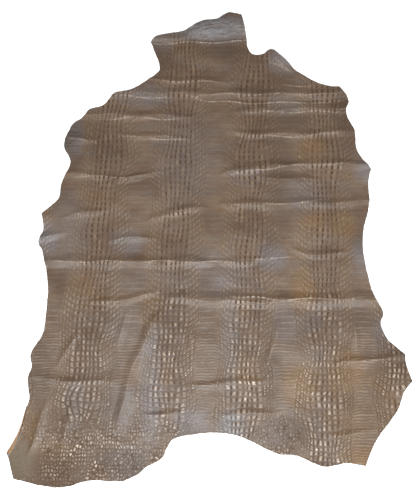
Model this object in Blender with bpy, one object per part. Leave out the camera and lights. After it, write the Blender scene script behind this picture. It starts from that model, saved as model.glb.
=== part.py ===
"""A whole hide of embossed leather, lying grain side up on a flat surface.

The hide is one sheet. Its flat outline is filled with points along its folds, the folds and the
lifted edges are raised, one edge is rolled over, and the sheet is given its thickness.
Metres, +Z up, +X to the right and +Y toward the neck. The origin is on the surface under the
middle of the hide. The tables are in millimetres.
"""
from collections import namedtuple

import bpy
import numpy as np
from mathutils.geometry import delaunay_2d_cdt

MM = 0.001
LEATHER_THICKNESS = 1.2 * MM

# Spacing of the mesh's points, in millimetres: round the rim, along a fold, along the rolled
# edge, and along and between the rows of the lattice that fills the rest
RIM_STEP = 14.0
FOLD_STEP = 34.0
ROLL_STEP = 16.0
FLAT_STEP = 36.0
FLAT_ROW_STEP = 31.0

# How near to the points already placed a new one may lie, in millimetres
ROLL_CLEARANCE = 2.5
FOLD_CLEARANCE = 5.0
FLAT_CLEARANCE = 12.0
SAME_POINT = 1e-4

# What the triangulation fills: the faces inside the outline
FACES_INSIDE = 1

# The grain side of the leather, as linear colour
LEATHER_COLOUR = (0.20, 0.155, 0.125, 1.0)
LEATHER_ROUGHNESS = 0.45

EdgePoint = namedtuple("EdgePoint", "x y turn")
Fold = namedtuple("Fold", "name start middle end height near far")
Lift = namedtuple("Lift", "name x y reach height")
Roll = namedtuple("Roll", "start middle end radius turn")

ROUND = "round"
CORNER = "corner"

# The outline runs clockwise, seen from above, from the right corner of the neck
THROAT = (
    EdgePoint(74, 543, CORNER),
    EdgePoint(85, 484, ROUND),
    EdgePoint(87, 458, ROUND),
    EdgePoint(99, 439, ROUND),
    EdgePoint(125, 438, ROUND),
    EdgePoint(150, 447, ROUND),
    EdgePoint(202, 398, ROUND),
    EdgePoint(240, 373, ROUND),
    EdgePoint(270, 360, ROUND),
)
RIGHT_SIDE = (
    EdgePoint(304, 356, CORNER),
    EdgePoint(325, 322, ROUND),
    EdgePoint(317, 292, ROUND),
    EdgePoint(336, 245, ROUND),
    EdgePoint(340, 198, ROUND),
    EdgePoint(369, 150, CORNER),
    EdgePoint(362, 122, ROUND),
    EdgePoint(361, 64, ROUND),
    EdgePoint(344, -4, ROUND),
    EdgePoint(344, -57, ROUND),
    EdgePoint(361, -136, ROUND),
    EdgePoint(382, -180, ROUND),
    EdgePoint(375, -206, ROUND),
    EdgePoint(389, -238, ROUND),
)
RIGHT_SHANK = (
    EdgePoint(424, -271, CORNER),
    EdgePoint(427, -303, ROUND),
    EdgePoint(436, -329, CORNER),
    EdgePoint(418, -352, ROUND),
    EdgePoint(400, -395, ROUND),
    EdgePoint(355, -451, ROUND),
    EdgePoint(327, -505, CORNER),
)
BUTT = (
    EdgePoint(291, -501, ROUND),
    EdgePoint(238, -507, ROUND),
    EdgePoint(187, -487, ROUND),
    EdgePoint(135, -479, ROUND),
    EdgePoint(62, -446, ROUND),
    EdgePoint(2, -438, ROUND),
    EdgePoint(-73, -448, ROUND),
    EdgePoint(-93, -466, ROUND),
    EdgePoint(-104, -490, ROUND),
)
LEFT_SHANK = (
    EdgePoint(-136, -506, ROUND),
    EdgePoint(-157, -523, ROUND),
    EdgePoint(-188, -538, CORNER),
    EdgePoint(-258, -536, ROUND),
    EdgePoint(-304, -548, ROUND),
    EdgePoint(-347, -548, ROUND),
    EdgePoint(-417, -532, CORNER),
    EdgePoint(-433, -488, ROUND),
)
# The edge that the roll turns over, as it was cut
ROLLED_EDGE = (
    EdgePoint(-447, -464, CORNER),
    EdgePoint(-428, -442, ROUND),
    EdgePoint(-412, -415, ROUND),
    EdgePoint(-401, -388, ROUND),
    EdgePoint(-394, -366, ROUND),
)
LEFT_SIDE = (
    EdgePoint(-399, -324, ROUND),
    EdgePoint(-392, -297, ROUND),
    EdgePoint(-395, -267, ROUND),
    EdgePoint(-370, -219, ROUND),
    EdgePoint(-365, -118, ROUND),
    EdgePoint(-380, -45, ROUND),
    EdgePoint(-390, -23, ROUND),
    EdgePoint(-381, 12, ROUND),
    EdgePoint(-386, 45, CORNER),
    EdgePoint(-352, 80, ROUND),
    EdgePoint(-344, 118, ROUND),
    EdgePoint(-326, 170, ROUND),
    EdgePoint(-341, 205, ROUND),
    EdgePoint(-328, 257, ROUND),
)
LEFT_SHOULDER = (
    EdgePoint(-300, 280, ROUND),
    EdgePoint(-284, 300, ROUND),
    EdgePoint(-254, 309, ROUND),
    EdgePoint(-229, 338, ROUND),
    EdgePoint(-189, 349, ROUND),
    EdgePoint(-132, 388, ROUND),
    EdgePoint(-123, 410, ROUND),
    EdgePoint(-145, 470, CORNER),
)
NECK_END = (
    EdgePoint(-127, 487, ROUND),
    EdgePoint(-65, 501, ROUND),
    EdgePoint(-26, 524, ROUND),
    EdgePoint(13, 530, ROUND),
    EdgePoint(42, 548, ROUND),
)
OUTLINE = (THROAT + RIGHT_SIDE + RIGHT_SHANK + BUTT + LEFT_SHANK + ROLLED_EDGE + LEFT_SIDE
           + LEFT_SHOULDER + NECK_END)

# Each fold is a ridge on a curve through three points. Walking from start to end, its near slope
# falls to the right hand over the width "near", and its far slope to the left over "far".
FOLDS = (
    Fold("neck end, right", (-62, 499), (30, 510), (130, 514), 9.5, 36, 40),
    Fold("neck end, left", (-190, 472), (-120, 477), (-30, 486), 4.6, 10, 22),
    Fold("top of the neck", (-190, 372), (-60, 371), (60, 367), 2.2, 9, 12),
    Fold("shoulders", (-290, 342), (20, 337), (380, 339), 4.4, 17, 17),
    Fold("left shoulder", (-350, 284), (-180, 283), (-40, 280), 4.0, 14, 16),
    Fold("right shoulder", (45, 292), (200, 298), (390, 302), 4.0, 14, 17),
    Fold("left withers, outer", (-392, 228), (-320, 225), (-258, 220), 4.2, 13, 20),
    Fold("left withers", (-240, 235), (-130, 231), (-30, 225), 2.8, 11, 13),
    Fold("right withers", (30, 241), (200, 237), (392, 248), 3.8, 11, 15),
    Fold("left ribs, outer", (-390, 137), (-290, 138), (-212, 130), 3.4, 12, 13),
    Fold("left ribs", (-232, 121), (-175, 133), (-112, 143), 3.8, 12, 13),
    Fold("right ribs", (20, 137), (175, 161), (420, 160), 4.6, 14, 15),
    Fold("right ribs, broad", (92, 129), (180, 128), (270, 121), 3.2, 24, 13),
    Fold("right loin", (15, 69), (170, 68), (420, 77), 4.2, 15, 15),
    Fold("left loin, outer", (-348, 33), (-290, 46), (-228, 57), 4.0, 15, 13),
    Fold("left loin", (-148, 24), (-90, 49), (0, 58), 4.2, 17, 15),
    Fold("left flank edge", (-440, -26), (-385, -13), (-325, 6), 6.0, 17, 15),
    Fold("left flank", (-240, -19), (-180, -12), (-112, -11), 3.2, 15, 12),
    Fold("left belly", (-435, -66), (-200, -67), (15, -68), 5.0, 15, 19),
    Fold("middle belly", (0, -69), (65, -67), (135, -54), 3.4, 13, 15),
    Fold("right belly", (172, -31), (245, -51), (312, -40), 4.0, 13, 15),
    Fold("right rump", (-105, -147), (150, -157), (430, -149), 6.4, 16, 25),
    Fold("left rump", (-275, -158), (-200, -152), (-112, -134), 4.2, 13, 13),
    Fold("left thigh", (-450, -319), (-330, -328), (-200, -332), 3.6, 13, 13),
    Fold("middle thigh", (-50, -337), (40, -333), (135, -326), 3.8, 15, 11),
    Fold("right thigh", (265, -291), (350, -284), (480, -268), 5.0, 15, 13),
    Fold("middle butt", (15, -400), (85, -399), (160, -393), 3.8, 15, 13),
    Fold("right butt", (245, -443), (300, -441), (365, -432), 3.6, 13, 13),
    Fold("left butt", (-150, -400), (-100, -398), (-48, -396), 3.6, 15, 11),
    Fold("long slant, left thigh", (-108, -172), (-166, -290), (-206, -446), 6.2, 17, 27),
    Fold("short slant, left thigh", (-186, -172), (-197, -216), (-203, -264), 3.4, 13, 13),
    Fold("slant, left edge", (-290, -212), (-312, -256), (-335, -302), 3.4, 13, 13),
    Fold("upright, left shank", (-296, -352), (-309, -420), (-318, -494), 4.2, 14, 18),
    Fold("upright, middle", (-45, -192), (-42, -246), (-38, -304), 3.4, 15, 17),
    Fold("upright, right of middle", (148, -192), (137, -250), (121, -306), 5.0, 15, 19),
    Fold("upright, right thigh", (312, -204), (317, -236), (319, -268), 4.0, 13, 17),
    Fold("along the left shank", (-354, -366), (-370, -426), (-394, -488), 4.4, 13, 19),
    Fold("across the left shank", (-280, -392), (-235, -441), (-158, -472), 3.6, 14, 14),
)

# Each lifted place is a round swell, most of them at the edge of the hide
LIFTS = (
    Lift("right shoulder point", 166, 444, 62, 8.0),
    Lift("left shoulder", -345, 205, 48, 4.5),
    Lift("right ribs edge", 374, 152, 46, 5.5),
    Lift("right flank edge", 352, -52, 58, 4.5),
    Lift("left flank point", -392, 47, 44, 5.0),
    Lift("left belly edge", -385, -112, 42, 3.5),
    Lift("right shank point", 444, -328, 62, 8.5),
    Lift("right shank end", 322, -512, 58, 6.5),
    Lift("left shank end", -422, -540, 60, 5.0),
    Lift("left shank, butt side", -150, -528, 52, 5.5),
    Lift("butt, right", 232, -512, 40, 3.5),
    Lift("nape", 70, 410, 60, 2.4),
    Lift("left ribs swell", -130, 185, 62, 2.2),
    Lift("right ribs swell", 232, 30, 70, 2.8),
    Lift("left flank swell", -320, -150, 64, 2.6),
    Lift("middle swell", 60, -10, 58, 1.8),
    Lift("right thigh swell", 232, -250, 66, 2.8),
    Lift("left shank swell", -300, -505, 58, 3.4),
    Lift("left thigh swell", -250, -270, 50, 2.4),
)

# The rolled edge bends round a cylinder of this radius, through this angle in radians, and then
# runs straight. Its rows of points lie this far outside the line where the bend begins.
SHANK_ROLL = Roll((-400, -360), (-400, -418), (-432, -484), 6.0, 2.4)
ROLL_ROWS = (0.0, 4.0, 8.0, 12.0, 17.0)

# How far through each slope its rows of points run, from the near foot to the far foot
SLOPE_ROWS = (-1.0, -0.5, 0.0, 0.5, 1.0)
CURVE_SAMPLES = 33

# A fold fades and narrows over this length at its ends, and wanders as it goes, in millimetres
FADE_LENGTH = 62.0
NARROWEST = 0.45
WANDER = 2.4
WANDER_LENGTH = 125.0
RISE_AND_FALL = 0.22
RISE_LENGTH = 165.0


def parabola(start, middle, end, t):
    """Points on the parabola through three points, at parameters from 0 to 1."""
    t = t[:, None]
    return ((1 - t) * (1 - 2 * t) * np.array(start) + 4 * t * (1 - t) * np.array(middle)
            + t * (2 * t - 1) * np.array(end))


def line_length(line):
    return float(np.linalg.norm(np.diff(line, axis=0), axis=1).sum())


def left_normals(points):
    """Unit vectors to the left hand of somebody who walks along the points."""
    along = np.gradient(points, axis=0)
    along /= np.linalg.norm(along, axis=1)[:, None]
    return np.stack((-along[:, 1], along[:, 0]), axis=1)


def fold_line(fold, steps):
    """The crest of a fold: its parabola, swayed a little from side to side."""
    t = np.linspace(0.0, 1.0, steps)
    line = parabola(fold.start, fold.middle, fold.end, t)
    length = line_length(line)
    phase = fold.start[0] + fold.start[1]
    sway = WANDER * np.sin(2 * np.pi * length * t / WANDER_LENGTH + phase)
    return line + left_normals(line) * sway[:, None]


def roll_line(roll, steps):
    return parabola(roll.start, roll.middle, roll.end, np.linspace(0.0, 1.0, steps))


def fold_fade(length, along):
    """Rises from 0 at the two ends of a fold to 1 over its fade length."""
    run_out = min(FADE_LENGTH, length / 2)
    return np.clip(np.minimum(along, 1 - along) * length / run_out, 0, 1)


def fold_width(length, along):
    return NARROWEST + (1 - NARROWEST) * fold_fade(length, along)


def place_on_line(xy, line, overrun=False):
    """How far along the line each point lies, from 0 to 1, and how far to its left.

    With overrun the line goes on straight past its two ends.
    """
    a, run = line[:-1], np.diff(line, axis=0)
    offset = xy[:, None, :] - a[None]
    t = (offset * run).sum(axis=2) / (run * run).sum(axis=1)
    low = np.zeros(len(run))
    high = np.ones(len(run))
    if overrun:
        low[0], high[-1] = -np.inf, np.inf
    t = np.clip(t, low, high)
    gap = offset - t[..., None] * run[None]
    distance = np.linalg.norm(gap, axis=2)
    nearest = distance.argmin(axis=1)
    rows = np.arange(len(xy))
    side = run[nearest, 0] * gap[rows, nearest, 1] - run[nearest, 1] * gap[rows, nearest, 0]
    along = (nearest + t[rows, nearest]) / len(run)
    return along, np.copysign(distance[rows, nearest], side), nearest


def fold_height(fold, xy):
    """Height of one ridge: a smooth bell across it that fades at its two ends."""
    line = fold_line(fold, CURVE_SAMPLES)
    length = line_length(line)
    along, aside, _ = place_on_line(xy, line)
    across = np.where(aside > 0, aside / fold.far, aside / fold.near) / fold_width(length, along)
    bell = np.clip(1 - across ** 2, 0, None) ** 2
    fade = fold_fade(length, along)
    uneven = 1 + RISE_AND_FALL * np.sin(2 * np.pi * length * along / RISE_LENGTH + fold.start[0])
    return fold.height * uneven * bell * fade * (2 - fade)


def lift_height(lift, xy):
    distance = np.hypot(xy[:, 0] - lift.x, xy[:, 1] - lift.y) / lift.reach
    return lift.height * np.clip(1 - distance ** 2, 0, None) ** 2


def sheet_height(xy):
    """Height of the underside above the surface, zero wherever no fold passes."""
    height = np.zeros(len(xy))
    for fold in FOLDS:
        height += fold_height(fold, xy)
    for lift in LIFTS:
        height += lift_height(lift, xy)
    return height


def roll_over(xyz, roll):
    """Bend what lies outside the roll's curve up and back over the hide."""
    line = roll_line(roll, CURVE_SAMPLES)
    _, aside, nearest = place_on_line(xyz[:, :2], line, overrun=True)
    outward = -left_normals(line)[nearest]
    reach = np.clip(-aside, 0, None)
    angle = np.minimum(reach / roll.radius, roll.turn)
    straight = reach - angle * roll.radius
    out = roll.radius * np.sin(angle) + straight * np.cos(angle)
    up = roll.radius * (1 - np.cos(angle)) + straight * np.sin(angle)
    bent = xyz.copy()
    bent[:, :2] += outward * (out - reach)[:, None]
    bent[:, 2] += up
    return bent


def outline_points(step):
    """The closed edge: smooth curves through the table's points, broken at its corners."""
    table = np.array([(p.x, p.y) for p in OUTLINE], float)
    corner = [p.turn == CORNER for p in OUTLINE]
    count = len(table)
    edge = []
    for i in range(count):
        j = (i + 1) % count
        p1, p2 = table[i], table[j]
        before = p1 if corner[i] else table[i - 1]
        after = p2 if corner[j] else table[(j + 1) % count]
        pieces = max(1, round(float(np.linalg.norm(p2 - p1)) / step))
        for t in np.arange(pieces) / pieces:
            edge.append(0.5 * (2 * p1 + (p2 - before) * t
                               + (2 * before - 5 * p1 + 4 * p2 - after) * t ** 2
                               + (3 * p1 - before - 3 * p2 + after) * t ** 3))
    return np.array(edge)


def inside(xy, edge):
    """Which points lie inside the closed edge, by counting crossings to the right."""
    x, y = xy[:, :1], xy[:, 1:]
    ax, ay = edge[:, 0], edge[:, 1]
    bx, by = np.roll(ax, -1), np.roll(ay, -1)
    spans = (ay > y) != (by > y)
    rise = np.where(by == ay, 1.0, by - ay)
    crossing = ax + (y - ay) / rise * (bx - ax)
    return (spans & (x < crossing)).sum(axis=1) % 2 == 1


def roll_rows(roll):
    """Rows of points beside the roll's line, over the leather that bends."""
    length = line_length(roll_line(roll, CURVE_SAMPLES))
    line = roll_line(roll, round(length / ROLL_STEP) + 1)
    normals = left_normals(line)
    return [line - normals * reach for reach in ROLL_ROWS]


def fold_rows(fold):
    """Rows of points along a fold, from its near foot over its crest to its far foot."""
    length = line_length(fold_line(fold, CURVE_SAMPLES))
    steps = max(4, round(length / FOLD_STEP) + 1)
    line = fold_line(fold, steps)
    normals = left_normals(line)
    width = fold_width(length, np.linspace(0.0, 1.0, steps))[:, None]
    sides = [row * (fold.far if row > 0 else fold.near) for row in SLOPE_ROWS]
    return [line + normals * width * side for side in sides]


def lattice_rows(edge):
    """Rows of points in a plain triangular lattice over the whole hide."""
    low, high = edge.min(axis=0), edge.max(axis=0)
    columns = np.arange(low[0], high[0], FLAT_STEP)
    rows = []
    for n, y in enumerate(np.arange(low[1], high[1], FLAT_ROW_STEP)):
        shift = FLAT_STEP * 0.5 * (n % 2)
        rows.append(np.stack((columns + shift, np.full(len(columns), y)), axis=1))
    return rows


def fill_outline(edge):
    """Points inside the edge, and the lines that the mesh must keep between them.

    The rolled edge and the folds come first, and a plain lattice fills what they leave.
    """
    groups = [(row, ROLL_CLEARANCE, True) for row in roll_rows(SHANK_ROLL)]
    for fold in FOLDS:
        groups += [(row, FOLD_CLEARANCE, True) for row in fold_rows(fold)]
    groups += [(row, FLAT_CLEARANCE, False) for row in lattice_rows(edge)]

    kept = edge.copy()
    lines = [(i, (i + 1) % len(edge)) for i in range(len(edge))]
    for row, clearance, keeps_line in groups:
        distance = np.linalg.norm(row[:, None] - kept[None], axis=2).min(axis=1)
        stays = np.flatnonzero(inside(row, edge) & (distance > clearance))
        if keeps_line:
            lines += [(len(kept) + n, len(kept) + n + 1) for n in range(len(stays) - 1)
                      if stays[n + 1] == stays[n] + 1]
        kept = np.concatenate((kept, row[stays]))
    return kept, lines


def leather_material():
    material = bpy.data.materials.new("embossed leather")
    material.use_nodes = True
    shader = material.node_tree.nodes["Principled BSDF"]
    shader.inputs["Base Color"].default_value = LEATHER_COLOUR
    shader.inputs["Roughness"].default_value = LEATHER_ROUGHNESS
    material.diffuse_color = LEATHER_COLOUR
    return material


def sheet_mesh():
    """The underside of the hide as one surface, centred over the origin."""
    edge = outline_points(RIM_STEP)
    points, lines = fill_outline(edge)
    flat, _, triangles, *_ = delaunay_2d_cdt([tuple(p) for p in points], lines, [],
                                             FACES_INSIDE, SAME_POINT)
    xy = np.array([tuple(p) for p in flat])
    xyz = roll_over(np.column_stack((xy, sheet_height(xy))), SHANK_ROLL)
    xyz[:, :2] -= (xyz[:, :2].min(axis=0) + xyz[:, :2].max(axis=0)) / 2

    mesh = bpy.data.meshes.new("hide")
    mesh.from_pydata([tuple(p) for p in xyz * MM], [], [tuple(t) for t in triangles])
    return mesh


def build_hide():
    """The underside's surface, thickened upward."""
    hide = bpy.data.objects.new("hide", sheet_mesh())
    bpy.context.scene.collection.objects.link(hide)
    hide.data.materials.append(leather_material())
    thicken = hide.modifiers.new("thickness", "SOLIDIFY")
    thicken.thickness = LEATHER_THICKNESS
    thicken.offset = 1.0
    return hide


def main():
    for thing in list(bpy.data.objects):
        bpy.data.objects.remove(thing, do_unlink=True)
    build_hide()


main()
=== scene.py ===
"""The looks of a whole hide of embossed leather, lying grain side up on a flat surface.

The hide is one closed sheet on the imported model's outline, folds and rolled edge, with the scales
pressed into its grain side, its fine creases and its uneven cut edge.
"""
import math
from collections import namedtuple

import bpy
import numpy as np
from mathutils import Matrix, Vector
from mathutils.geometry import delaunay_2d_cdt


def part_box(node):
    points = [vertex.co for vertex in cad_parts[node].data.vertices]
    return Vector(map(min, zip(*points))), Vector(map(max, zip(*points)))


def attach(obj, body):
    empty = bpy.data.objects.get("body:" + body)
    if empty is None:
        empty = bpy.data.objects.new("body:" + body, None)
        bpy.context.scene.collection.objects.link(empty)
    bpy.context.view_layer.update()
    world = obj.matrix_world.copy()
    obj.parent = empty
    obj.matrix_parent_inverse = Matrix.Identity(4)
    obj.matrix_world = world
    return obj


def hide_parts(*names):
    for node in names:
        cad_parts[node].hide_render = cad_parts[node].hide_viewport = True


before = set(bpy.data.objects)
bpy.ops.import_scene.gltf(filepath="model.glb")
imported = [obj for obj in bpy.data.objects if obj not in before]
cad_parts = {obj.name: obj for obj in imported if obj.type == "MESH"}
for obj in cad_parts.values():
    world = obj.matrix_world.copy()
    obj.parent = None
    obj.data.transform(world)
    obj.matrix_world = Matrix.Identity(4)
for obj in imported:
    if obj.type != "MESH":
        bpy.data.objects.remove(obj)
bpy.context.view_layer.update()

MM = 0.001
LEATHER_THICKNESS = 1.2

Fold = namedtuple("Fold", "name start middle end height near far")
Lift = namedtuple("Lift", "name x y reach height")
Roll = namedtuple("Roll", "start middle end radius turn")

ROUND = "round"
CORNER = "corner"
EdgePoint = namedtuple("EdgePoint", "x y turn", defaults=(ROUND,))


def table(kind, rows):
    """Rows with named columns."""
    return [kind(*row) for row in rows]


# The outline runs clockwise, seen from above, from the right corner of the neck
THROAT = table(EdgePoint, (
    (74, 543, CORNER),
    (85, 484),
    (87, 458),
    (99, 439),
    (125, 438),
    (150, 447),
    (202, 398),
    (240, 373),
    (270, 360),
))
RIGHT_SIDE = table(EdgePoint, (
    (304, 356, CORNER),
    (325, 322),
    (317, 292),
    (336, 245),
    (340, 198),
    (369, 150, CORNER),
    (362, 122),
    (361, 64),
    (344, -4),
    (344, -57),
    (361, -136),
    (382, -180),
    (375, -206),
    (389, -238),
))
RIGHT_SHANK = table(EdgePoint, (
    (424, -271, CORNER),
    (427, -303),
    (436, -329, CORNER),
    (418, -352),
    (400, -395),
    (355, -451),
    (327, -505, CORNER),
))
BUTT = table(EdgePoint, (
    (291, -501),
    (238, -507),
    (187, -487),
    (135, -479),
    (62, -446),
    (2, -438),
    (-73, -448),
    (-93, -466),
    (-104, -490),
))
LEFT_SHANK = table(EdgePoint, (
    (-136, -506),
    (-157, -523),
    (-188, -538, CORNER),
    (-258, -536),
    (-304, -548),
    (-347, -548),
    (-417, -532, CORNER),
    (-433, -488),
))
# The edge that the roll turns over, as it was cut
ROLLED_EDGE = table(EdgePoint, (
    (-447, -464, CORNER),
    (-428, -442),
    (-412, -415),
    (-401, -388),
    (-394, -366),
))
LEFT_SIDE = table(EdgePoint, (
    (-399, -324),
    (-392, -297),
    (-395, -267),
    (-370, -219),
    (-365, -118),
    (-380, -45),
    (-390, -23),
    (-381, 12),
    (-386, 45, CORNER),
    (-352, 80),
    (-344, 118),
    (-326, 170),
    (-341, 205),
    (-328, 257),
))
LEFT_SHOULDER = table(EdgePoint, (
    (-300, 280),
    (-284, 300),
    (-254, 309),
    (-229, 338),
    (-189, 349),
    (-132, 388),
    (-123, 410),
    (-145, 470, CORNER),
))
NECK_END = table(EdgePoint, (
    (-127, 487),
    (-65, 501),
    (-26, 524),
    (13, 530),
    (42, 548),
))
OUTLINE = (THROAT + RIGHT_SIDE + RIGHT_SHANK + BUTT + LEFT_SHANK + ROLLED_EDGE + LEFT_SIDE
           + LEFT_SHOULDER + NECK_END)

# Each fold is a ridge on a curve through three points. Walking from start to end, its near slope
# falls to the right hand over the width "near", and its far slope to the left over "far".
FOLDS = table(Fold, (
    ("neck end, right", (-62, 499), (30, 510), (130, 514), 9.5, 36, 40),
    ("neck end, left", (-190, 472), (-120, 477), (-30, 486), 4.6, 10, 22),
    ("top of the neck", (-190, 372), (-60, 371), (60, 367), 2.2, 9, 12),
    ("shoulders", (-290, 342), (20, 337), (380, 339), 4.4, 17, 17),
    ("left shoulder", (-350, 284), (-180, 283), (-40, 280), 4.0, 14, 16),
    ("right shoulder", (45, 292), (200, 298), (390, 302), 4.0, 14, 17),
    ("left withers, outer", (-392, 228), (-320, 225), (-258, 220), 4.2, 13, 20),
    ("left withers", (-240, 235), (-130, 231), (-30, 225), 2.8, 11, 13),
    ("right withers", (30, 241), (200, 237), (392, 248), 3.8, 11, 15),
    ("left ribs, outer", (-390, 137), (-290, 138), (-212, 130), 3.4, 12, 13),
    ("left ribs", (-232, 121), (-175, 133), (-112, 143), 3.8, 12, 13),
    ("right ribs", (20, 137), (175, 161), (420, 160), 4.6, 14, 15),
    ("right ribs, broad", (92, 129), (180, 128), (270, 121), 3.2, 24, 13),
    ("right loin", (15, 69), (170, 68), (420, 77), 4.2, 15, 15),
    ("left loin, outer", (-348, 33), (-290, 46), (-228, 57), 4.0, 15, 13),
    ("left loin", (-148, 24), (-90, 49), (0, 58), 4.2, 17, 15),
    ("left flank edge", (-440, -26), (-385, -13), (-325, 6), 6.0, 17, 15),
    ("left flank", (-240, -19), (-180, -12), (-112, -11), 3.2, 15, 12),
    ("left belly", (-435, -66), (-200, -67), (15, -68), 5.0, 15, 19),
    ("middle belly", (0, -69), (65, -67), (135, -54), 3.4, 13, 15),
    ("right belly", (172, -31), (245, -51), (312, -40), 4.0, 13, 15),
    ("right rump", (-105, -147), (150, -157), (430, -149), 6.4, 16, 25),
    ("left rump", (-275, -158), (-200, -152), (-112, -134), 4.2, 13, 13),
    ("left thigh", (-450, -319), (-330, -328), (-200, -332), 3.6, 13, 13),
    ("middle thigh", (-50, -337), (40, -333), (135, -326), 3.8, 15, 11),
    ("right thigh", (265, -291), (350, -284), (480, -268), 5.0, 15, 13),
    ("middle butt", (15, -400), (85, -399), (160, -393), 3.8, 15, 13),
    ("right butt", (245, -443), (300, -441), (365, -432), 3.6, 13, 13),
    ("left butt", (-150, -400), (-100, -398), (-48, -396), 3.6, 15, 11),
    ("long slant, left thigh", (-108, -172), (-166, -290), (-206, -446), 6.2, 17, 27),
    ("short slant, left thigh", (-186, -172), (-197, -216), (-203, -264), 3.4, 13, 13),
    ("slant, left edge", (-290, -212), (-312, -256), (-335, -302), 3.4, 13, 13),
    ("upright, left shank", (-296, -352), (-309, -420), (-318, -494), 4.2, 14, 18),
    ("upright, middle", (-45, -192), (-42, -246), (-38, -304), 3.4, 15, 17),
    ("upright, right of middle", (148, -192), (137, -250), (121, -306), 5.0, 15, 19),
    ("upright, right thigh", (312, -204), (317, -236), (319, -268), 4.0, 13, 17),
    ("along the left shank", (-354, -366), (-370, -426), (-394, -488), 4.4, 13, 19),
    ("across the left shank", (-280, -392), (-235, -441), (-158, -472), 3.6, 14, 14),
))

# Each lifted place is a round swell, most of them at the edge of the hide
LIFTS = table(Lift, (
    ("right shoulder point", 166, 444, 62, 8.0),
    ("left shoulder", -345, 205, 48, 4.5),
    ("right ribs edge", 374, 152, 46, 5.5),
    ("right flank edge", 352, -52, 58, 4.5),
    ("left flank point", -392, 47, 44, 5.0),
    ("left belly edge", -385, -112, 42, 3.5),
    ("right shank point", 444, -328, 62, 8.5),
    ("right shank end", 322, -512, 58, 6.5),
    ("left shank end", -422, -540, 60, 5.0),
    ("left shank, butt side", -150, -528, 52, 5.5),
    ("butt, right", 232, -512, 40, 3.5),
    ("nape", 70, 410, 60, 2.4),
    ("left ribs swell", -130, 185, 62, 2.2),
    ("right ribs swell", 232, 30, 70, 2.8),
    ("left flank swell", -320, -150, 64, 2.6),
    ("middle swell", 60, -10, 58, 1.8),
    ("right thigh swell", 232, -250, 66, 2.8),
    ("left shank swell", -300, -505, 58, 3.4),
    ("left thigh swell", -250, -270, 50, 2.4),
))

# The rolled edge bends round a cylinder of this radius, through this angle in radians, and then
# runs straight
SHANK_ROLL = Roll((-400, -360), (-400, -418), (-432, -484), 6.0, 2.4)

# How far the cut edge's two rims draw in from its middle, in millimetres
EDGE_ROUND = 0.15

# Linear colours
BROWN_DARK = (0.106, 0.060, 0.034, 1.0)
BROWN_LIGHT = (0.168, 0.105, 0.064, 1.0)
BROWN_GREY = (0.135, 0.112, 0.096, 1.0)
# A bluish grey laid on as painted sheen
PAINTED_SHEEN_GREY = (0.165, 0.155, 0.160, 1.0)
# A pale grey painted as highlights on the crinkles of the unpressed places, the neck end above all
PAINTED_CRINKLE_HIGHLIGHT = (0.30, 0.29, 0.295, 1.0)
OLIVE = (0.138, 0.102, 0.060, 1.0)
BROWN_GOLD = (0.225, 0.142, 0.072, 1.0)
# A deep brown for the mottle, for darkening down the hide, and for the dark places, partly painted
# shade
BROWN_DEEP = (0.068, 0.040, 0.024, 1.0)
BROWN_WARM = (0.205, 0.104, 0.026, 1.0)
# Lighter colours of the scale tops, ribs and crease crests, partly wear and partly painted highlights
# and glints: the browner one at the neck, the paler one toward the butt
WORN_AND_HIGHLIT_TOP = (0.53, 0.41, 0.305, 1.0)
WORN_AND_HIGHLIT_NECK = (0.29, 0.195, 0.115, 1.0)
GROOVE_BROWN = (0.064, 0.030, 0.013, 1.0)
FLESH_TAN = (0.36, 0.22, 0.12, 1.0)
FLESH_ORANGE = (0.42, 0.22, 0.10, 1.0)
FLESH_DARK = (0.18, 0.10, 0.055, 1.0)
FLOOR_WHITE = (0.9, 0.9, 0.9, 1.0)
SKY_COLOUR = (0.96, 0.98, 1.0, 1.0)
SKY_STRENGTH = 0.30
FLOOR_GLOW = 0.45

# The floor, in metres
FLOOR_SIZE = 12.0
FLOOR_DROP = 0.0003

# Lights: where each stands and aims, its width and depth in metres, its power and its colour
Light = namedtuple("Light", "name place aim width depth power colour")
LIGHTS = table(Light, (
    ("window", (0.16, -1.38, 1.92), (0.0, -0.05, 0.0), 2.0, 1.2, 80.0, (0.87, 0.94, 1.0)),
    ("lamp", (0.05, -0.75, 2.3), (0.0, -0.1, 0.0), 0.35, 0.35, 17.0, (1.0, 0.98, 0.95)),
))

# The camera: a lens of so many pixels' focal length on a photograph 419 by 500 pixels, at such a
# distance from the point it looks at, tilted from straight down
IMAGE_HEIGHT = 500
FOCAL_PIXELS = 664.127
SENSOR_WIDTH = 36.0
CAMERA_DISTANCE = 1.5
CAMERA_TILT = math.asin(0.19)
LOOK_POINT = (-0.0037, -0.0380)

CURVE_SAMPLES = 33

# The skin lies this much flatter than the model at its folds
FOLD_SHARE = 0.72

# A fold fades and narrows over this length at its ends, and wanders as it goes, in millimetres
FADE_LENGTH = 62.0
NARROWEST = 0.45
WANDER = 2.4
WANDER_LENGTH = 125.0
RISE_AND_FALL = 0.22
RISE_LENGTH = 165.0

# The scales are pressed in upright columns. Each column's middle lies this far right of the hide's
# middle, level with it, and leans by so much toward the neck.
Column = namedtuple("Column", "name middle lean")
COLUMNS = table(Column, (
    ("left edge", -422, 0.085),
    ("left", -252, 0.077),
    ("left of middle", -82, 0.042),
    ("right of middle", 88, 0.05),
    ("right", 258, 0.033),
    ("right edge", 428, 0.03),
))
OUTER_SPAN = 85.0

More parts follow.
